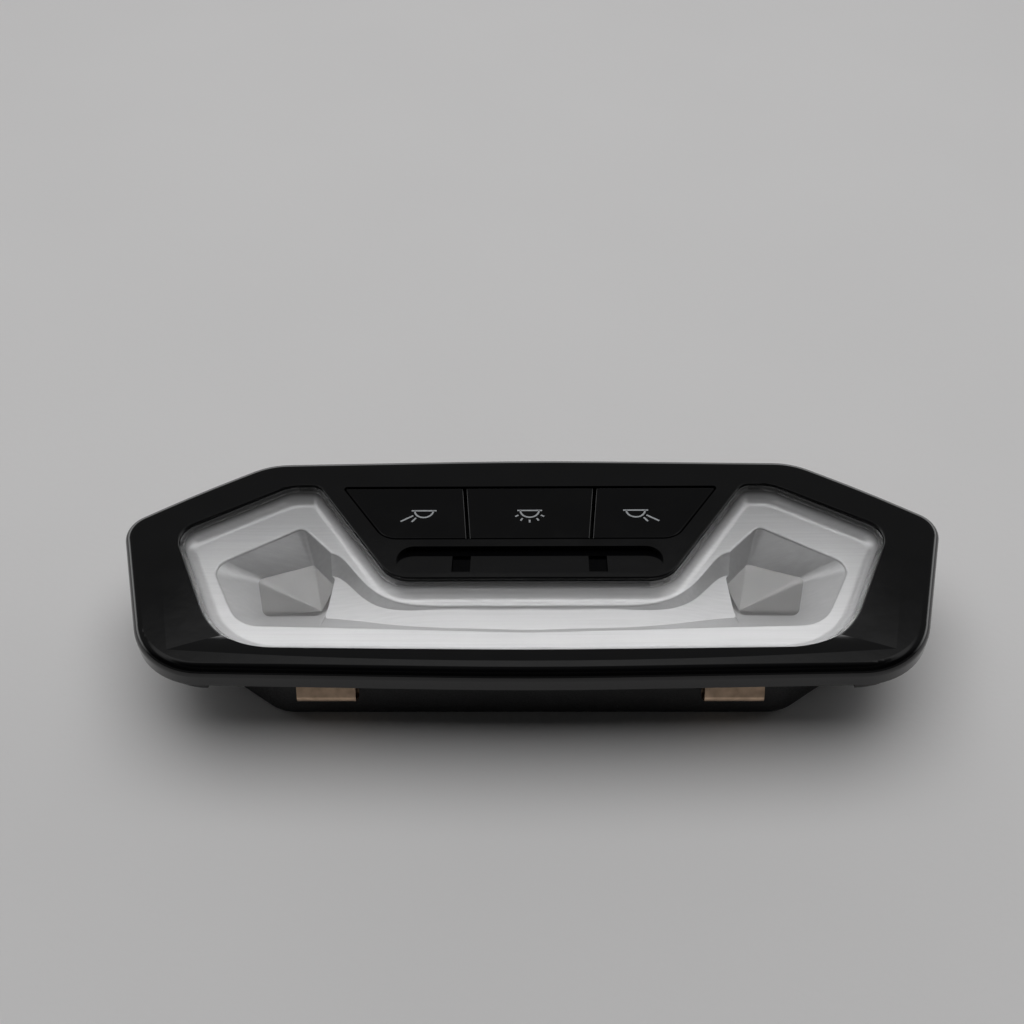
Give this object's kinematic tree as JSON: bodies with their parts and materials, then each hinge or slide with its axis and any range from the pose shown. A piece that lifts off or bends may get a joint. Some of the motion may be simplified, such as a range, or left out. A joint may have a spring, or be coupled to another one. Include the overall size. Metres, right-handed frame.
{
  "type": "car roof reading light",
  "caption": "Long roof-lining reading light: gloss black bezel, clear cover over a silvered tray with faceted pockets, push buttons, rear housing and spring clips.",
  "frame": {"origin": "on the plane of the back, under the middle of the part", "axes": "+X along the lamp, +Y towards its shorter edge, +Z out of the lit face"},
  "size_m": [0.1938, 0.0677, 0.026],
  "materials": {
    "gloss_black": "high-gloss black moulding",
    "clear_cover": "clear polished acrylic",
    "silvered": "satin silver metallised moulding",
    "clear_optic": "clear polished acrylic",
    "smoked": "smoked polycarbonate",
    "black_plastic": "black moulded plastic, fine texture",
    "board_green": "green solder mask",
    "part_black": "black moulded packages",
    "plunger_plastic": "light grey plastic",
    "led_yellow": "yellow phosphor on a white package",
    "spring_steel": "bronze-toned spring steel strip",
    "screw_steel": "zinc-plated steel",
    "connector_plastic": "black moulded plastic",
    "pin_brass": "tinned brass"
  },
  "bodies": {
    "lamp": {"front_bezel": "gloss_black", "lens_cover": "clear_cover", "reflector": "silvered", "left_optic": "clear_optic", "right_optic": "clear_optic", "left_window": "smoked", "right_window": "smoked", "button_guide": "black_plastic", "rear_housing": "black_plastic", "circuit_board": "board_green", "left_switch": "part_black", "centre_switch": "part_black", "right_switch": "part_black", "board_components": "part_black", "left_reading_led": "led_yellow", "right_reading_led": "led_yellow", "symbol_leds": "led_yellow", "ambient_leds": "led_yellow", "left_clip": "spring_steel", "right_clip": "spring_steel", "housing_screws": "screw_steel", "connector_shell": "connector_plastic", "connector_pins": "pin_brass"},
    "left_push": {"left_button": "gloss_black", "left_light_guide": "clear_optic", "left_plunger": "plunger_plastic"},
    "centre_push": {"centre_button": "gloss_black", "centre_light_guide": "clear_optic", "centre_plunger": "plunger_plastic"},
    "right_push": {"right_button": "gloss_black", "right_light_guide": "clear_optic", "right_plunger": "plunger_plastic"}
  },
  "joints": [
    {"name": "left_press", "type": "slide", "parent": "lamp", "child": "left_push", "axis": [0, 0, -1], "range_m": [0, 0.0006], "stiffness_N_per_m": 500, "springref_m": -0.0035},
    {"name": "centre_press", "type": "slide", "parent": "lamp", "child": "centre_push", "axis": [0, 0, -1], "range_m": [0, 0.0006], "stiffness_N_per_m": 500, "springref_m": -0.0035},
    {"name": "right_press", "type": "slide", "parent": "lamp", "child": "right_push", "axis": [0, 0, -1], "range_m": [0, 0.0006], "stiffness_N_per_m": 500, "springref_m": -0.0035}
  ]
}
